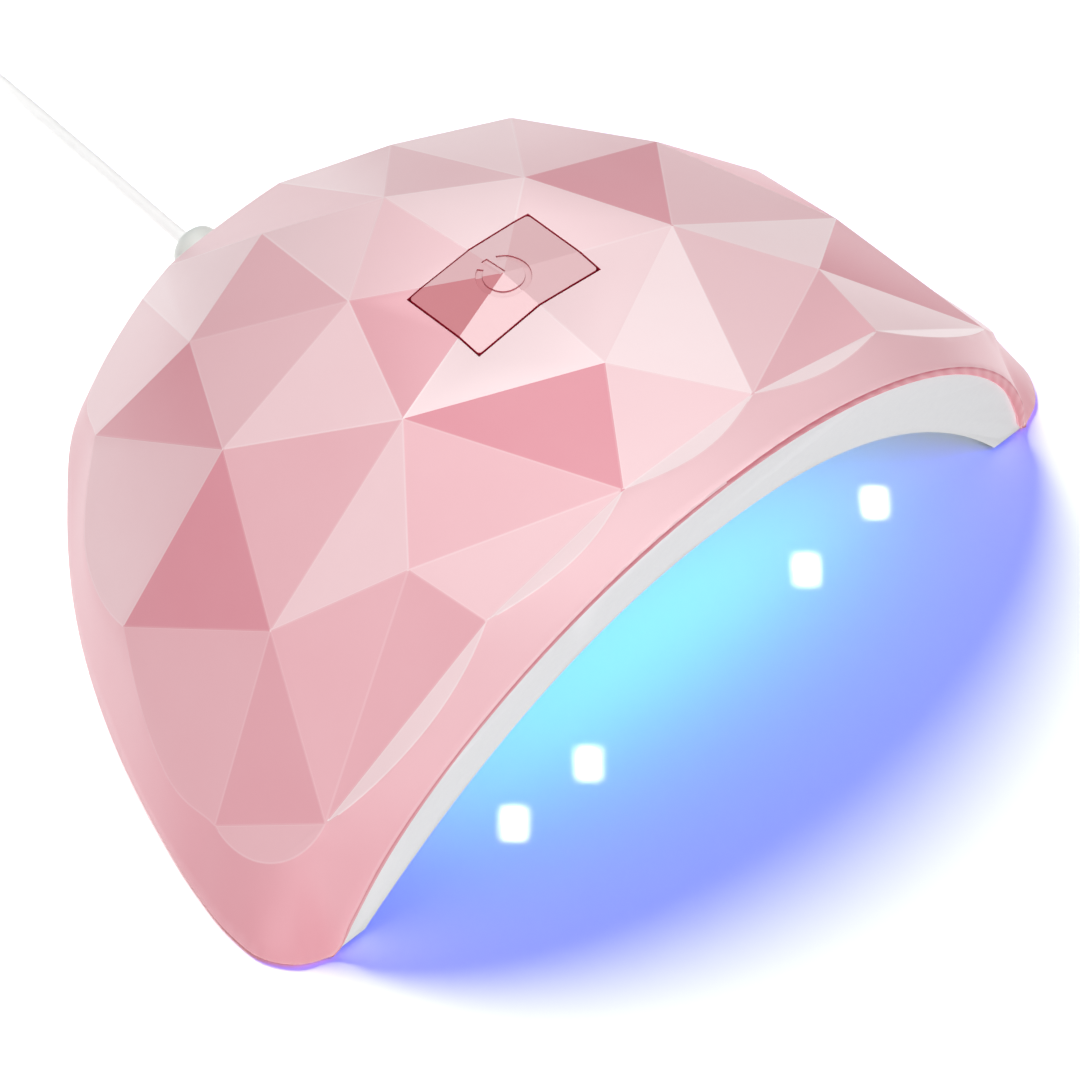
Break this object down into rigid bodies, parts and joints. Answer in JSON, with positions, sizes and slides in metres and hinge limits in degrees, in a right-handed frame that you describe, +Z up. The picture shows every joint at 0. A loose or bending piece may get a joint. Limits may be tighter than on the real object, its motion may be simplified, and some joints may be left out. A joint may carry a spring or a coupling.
{
  "type": "nail lamp",
  "caption": "Faceted arch-shaped curing lamp with a push button, an open front for a hand, small LED lamps inside and a thin cord with a plug.",
  "frame": {"origin": "on the table, under the centre of the housing's plan box", "axes": "+Z up, +X to the lamp's right side across its width, -Y towards the open front, +Y towards the cord"},
  "size_m": [0.1758, 0.2291, 0.066],
  "materials": {
    "pink_shell": "satin moulded ABS",
    "button_cap": "translucent tinted acrylic",
    "white_shell": "smooth moulded ABS",
    "lamp_lens": "clear-topped LED package",
    "circuit_board": "solder-masked board",
    "component_black": "moulded epoxy",
    "component_light": "moulded nylon",
    "lead_red": "wire insulation",
    "screw_steel": "plated",
    "foot_rubber": "soft rubber",
    "bush_plastic": "translucent moulded bush",
    "cord_jacket": "smooth soft PVC jacket",
    "plug_metal": "plated sheet steel"
  },
  "bodies": {
    "housing": {"top_shell": "pink_shell", "inner_shell": "white_shell", "switch_body": "component_black", "led_board_left": "circuit_board", "led_board_right": "circuit_board", "uv_led_01": "lamp_lens", "uv_led_02": "lamp_lens", "uv_led_03": "lamp_lens", "uv_led_04": "lamp_lens", "uv_led_05": "lamp_lens", "uv_led_06": "lamp_lens", "uv_led_07": "lamp_lens", "uv_led_08": "lamp_lens", "uv_led_09": "lamp_lens", "uv_led_10": "lamp_lens", "uv_led_11": "lamp_lens", "uv_led_12": "lamp_lens", "control_board": "circuit_board", "timer_chip": "component_black", "driver_inductor": "component_black", "capacitor": "component_black", "cord_socket": "component_light", "inner_cord_lead": "cord_jacket", "lamp_lead_left": "lead_red", "lamp_lead_right": "lead_red", "screw_front_left": "screw_steel", "screw_front_right": "screw_steel", "screw_rear_left": "screw_steel", "screw_rear_right": "screw_steel", "foot_front_left": "foot_rubber", "foot_front_right": "foot_rubber", "foot_rear_left": "foot_rubber", "foot_rear_right": "foot_rubber", "cord_grommet": "bush_plastic", "power_cord": "cord_jacket", "cord_tail": "cord_jacket", "cord_coil": "cord_jacket", "cord_tie": "component_light", "usb_plug_body": "cord_jacket", "usb_plug_shell": "plug_metal", "usb_tongue": "component_light"},
    "button": {"power_button": "button_cap"},
    "plunger": {"switch_plunger": "component_light"}
  },
  "joints": [
    {"name": "button_press", "type": "slide", "parent": "housing", "child": "button", "axis": [0, 0, -1], "range_m": [0, 0.0008], "stiffness_N_per_m": 1800, "springref_m": -0.0004},
    {"name": "plunger_press", "type": "slide", "parent": "housing", "child": "plunger", "axis": [0, 0, -1], "range_m": [0, 0.0008]}
  ],
  "couplings": [
    {"joint": "plunger_press", "follows": "button_press", "ratio": 1}
  ]
}
